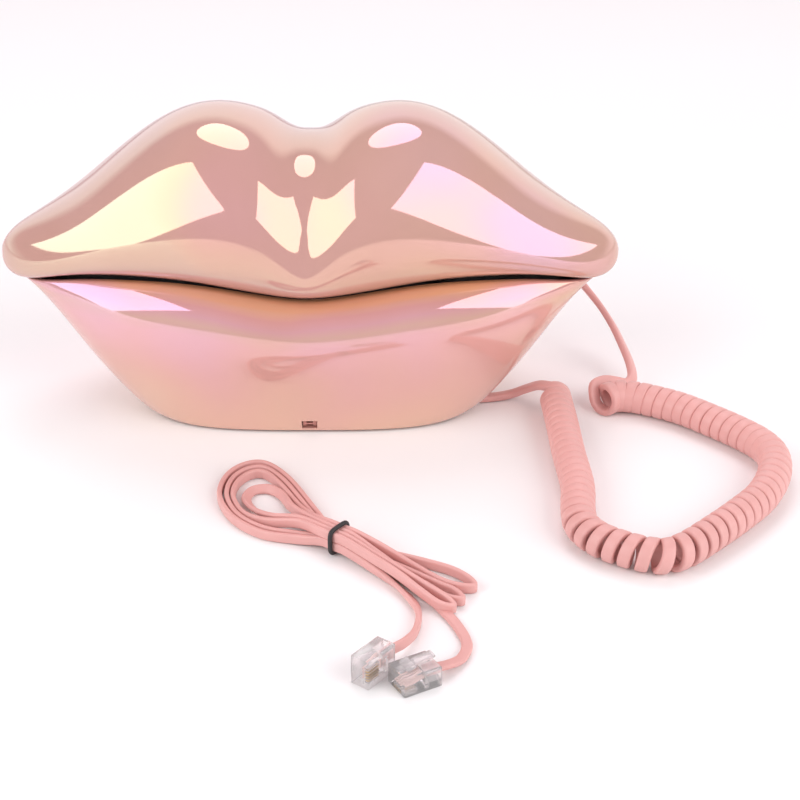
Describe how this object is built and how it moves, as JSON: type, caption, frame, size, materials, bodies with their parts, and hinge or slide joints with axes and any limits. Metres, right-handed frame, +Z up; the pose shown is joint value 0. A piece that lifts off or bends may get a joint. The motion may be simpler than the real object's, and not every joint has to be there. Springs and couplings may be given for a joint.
{
  "type": "novelty telephone",
  "caption": "Lips-shaped table telephone: the upper lip lifts off as the handset with its keypad, the lower lip is the base, and a curly cord joins them.",
  "frame": {"origin": "on the table, under the middle of the telephone", "axes": "+X along the mouth to the cord's side, +Y to the back, +Z up"},
  "size_m": [0.2749, 0.2357, 0.1081],
  "materials": {
    "pink_pearl_plastic": "glossy with a pink, lilac and gold pearl",
    "base_plate_plastic": "satin",
    "black_plastic": "satin",
    "white_plastic": "glossy",
    "rubber": "matte",
    "steel": "brushed",
    "board": "satin",
    "paper": "matte",
    "clear_plastic": "clear and glossy",
    "cord": "satin",
    "elastic": "matte",
    "gold": "polished"
  },
  "bodies": {
    "base": {"base_shell": "pink_pearl_plastic", "base_bottom_plate": "base_plate_plastic", "base_deck": "black_plastic", "rubber_feet": "rubber", "base_screws": "steel", "hook_spring": "steel", "hook_switch": "black_plastic", "base_pcb": "board", "ringer": "black_plastic", "line_jack": "black_plastic", "base_cord_jack": "black_plastic", "slide_switches": "steel", "base_cord_plug": "clear_plastic", "handset_cord_coil": "cord", "handset_cord_tail_up": "cord", "handset_cord_tail_low": "cord", "line_cord_hank": "cord", "line_cord_tail_a": "cord", "line_cord_tail_b": "cord", "line_cord_tie": "elastic", "line_plug_a": "clear_plastic", "line_plug_b": "clear_plastic", "line_plug_contacts": "gold"},
    "handset": {"handset_shell": "pink_pearl_plastic", "handset_underplate": "black_plastic", "keypad_membrane": "rubber", "keypad_pcb": "board", "receiver_frame": "steel", "receiver_cone": "paper", "receiver_gasket": "rubber", "microphone_capsule": "black_plastic", "microphone_boot": "rubber", "handset_screws": "steel", "pcb_screws": "steel", "handset_cord_jack": "black_plastic", "handset_cord_plug": "clear_plastic"},
    "hook_plunger": {"hook_plunger": "white_plastic"},
    "ringer_knob": {"ringer_switch_knob": "black_plastic"},
    "tone_knob": {"tone_switch_knob": "black_plastic"},
    "key_1_body": {"key_1": "white_plastic"},
    "key_2_body": {"key_2": "white_plastic"},
    "key_3_body": {"key_3": "white_plastic"},
    "key_4_body": {"key_4": "white_plastic"},
    "key_5_body": {"key_5": "white_plastic"},
    "key_6_body": {"key_6": "white_plastic"},
    "key_7_body": {"key_7": "white_plastic"},
    "key_8_body": {"key_8": "white_plastic"},
    "key_9_body": {"key_9": "white_plastic"},
    "key_star_body": {"key_star": "white_plastic"},
    "key_0_body": {"key_0": "white_plastic"},
    "key_hash_body": {"key_hash": "white_plastic"},
    "key_flash_body": {"key_flash": "white_plastic"},
    "key_redial_body": {"key_redial": "white_plastic"},
    "key_mute_body": {"key_mute": "white_plastic"}
  },
  "joints": [
    {"name": "handset_lift", "type": "slide", "parent": "base", "child": "handset", "axis": [0, 0, 1], "range_m": [0, 0.06]},
    {"name": "hook_travel", "type": "slide", "parent": "base", "child": "hook_plunger", "axis": [0, 0, 1], "range_m": [0, 0.003], "deforming": ["hook_spring"]},
    {"name": "ringer_switch_slide", "type": "slide", "parent": "base", "child": "ringer_knob", "axis": [1, 0, 0], "range_m": [0, 0.003]},
    {"name": "tone_switch_slide", "type": "slide", "parent": "base", "child": "tone_knob", "axis": [1, 0, 0], "range_m": [0, 0.003]},
    {"name": "key_1_press", "type": "slide", "parent": "handset", "child": "key_1_body", "axis": [0, 0, 1], "range_m": [0, 0.001], "stiffness_N_per_m": 200, "springref_m": -0.001},
    {"name": "key_2_press", "type": "slide", "parent": "handset", "child": "key_2_body", "axis": [0, 0, 1], "range_m": [0, 0.001], "stiffness_N_per_m": 200, "springref_m": -0.001},
    {"name": "key_3_press", "type": "slide", "parent": "handset", "child": "key_3_body", "axis": [0, 0, 1], "range_m": [0, 0.001], "stiffness_N_per_m": 200, "springref_m": -0.001},
    {"name": "key_4_press", "type": "slide", "parent": "handset", "child": "key_4_body", "axis": [0, 0, 1], "range_m": [0, 0.001], "stiffness_N_per_m": 200, "springref_m": -0.001},
    {"name": "key_5_press", "type": "slide", "parent": "handset", "child": "key_5_body", "axis": [0, 0, 1], "range_m": [0, 0.001], "stiffness_N_per_m": 200, "springref_m": -0.001},
    {"name": "key_6_press", "type": "slide", "parent": "handset", "child": "key_6_body", "axis": [0, 0, 1], "range_m": [0, 0.001], "stiffness_N_per_m": 200, "springref_m": -0.001},
    {"name": "key_7_press", "type": "slide", "parent": "handset", "child": "key_7_body", "axis": [0, 0, 1], "range_m": [0, 0.001], "stiffness_N_per_m": 200, "springref_m": -0.001},
    {"name": "key_8_press", "type": "slide", "parent": "handset", "child": "key_8_body", "axis": [0, 0, 1], "range_m": [0, 0.001], "stiffness_N_per_m": 200, "springref_m": -0.001},
    {"name": "key_9_press", "type": "slide", "parent": "handset", "child": "key_9_body", "axis": [0, 0, 1], "range_m": [0, 0.001], "stiffness_N_per_m": 200, "springref_m": -0.001},
    {"name": "key_star_press", "type": "slide", "parent": "handset", "child": "key_star_body", "axis": [0, 0, 1], "range_m": [0, 0.001], "stiffness_N_per_m": 200, "springref_m": -0.001},
    {"name": "key_0_press", "type": "slide", "parent": "handset", "child": "key_0_body", "axis": [0, 0, 1], "range_m": [0, 0.001], "stiffness_N_per_m": 200, "springref_m": -0.001},
    {"name": "key_hash_press", "type": "slide", "parent": "handset", "child": "key_hash_body", "axis": [0, 0, 1], "range_m": [0, 0.001], "stiffness_N_per_m": 200, "springref_m": -0.001},
    {"name": "key_flash_press", "type": "slide", "parent": "handset", "child": "key_flash_body", "axis": [0, 0, 1], "range_m": [0, 0.001], "stiffness_N_per_m": 200, "springref_m": -0.001},
    {"name": "key_redial_press", "type": "slide", "parent": "handset", "child": "key_redial_body", "axis": [0, 0, 1], "range_m": [0, 0.001], "stiffness_N_per_m": 200, "springref_m": -0.001},
    {"name": "key_mute_press", "type": "slide", "parent": "handset", "child": "key_mute_body", "axis": [0, 0, 1], "range_m": [0, 0.001], "stiffness_N_per_m": 200, "springref_m": -0.001}
  ],
  "couplings": [
    {"joint": "hook_travel", "follows": "handset_lift", "ratio": 0.05}
  ]
}
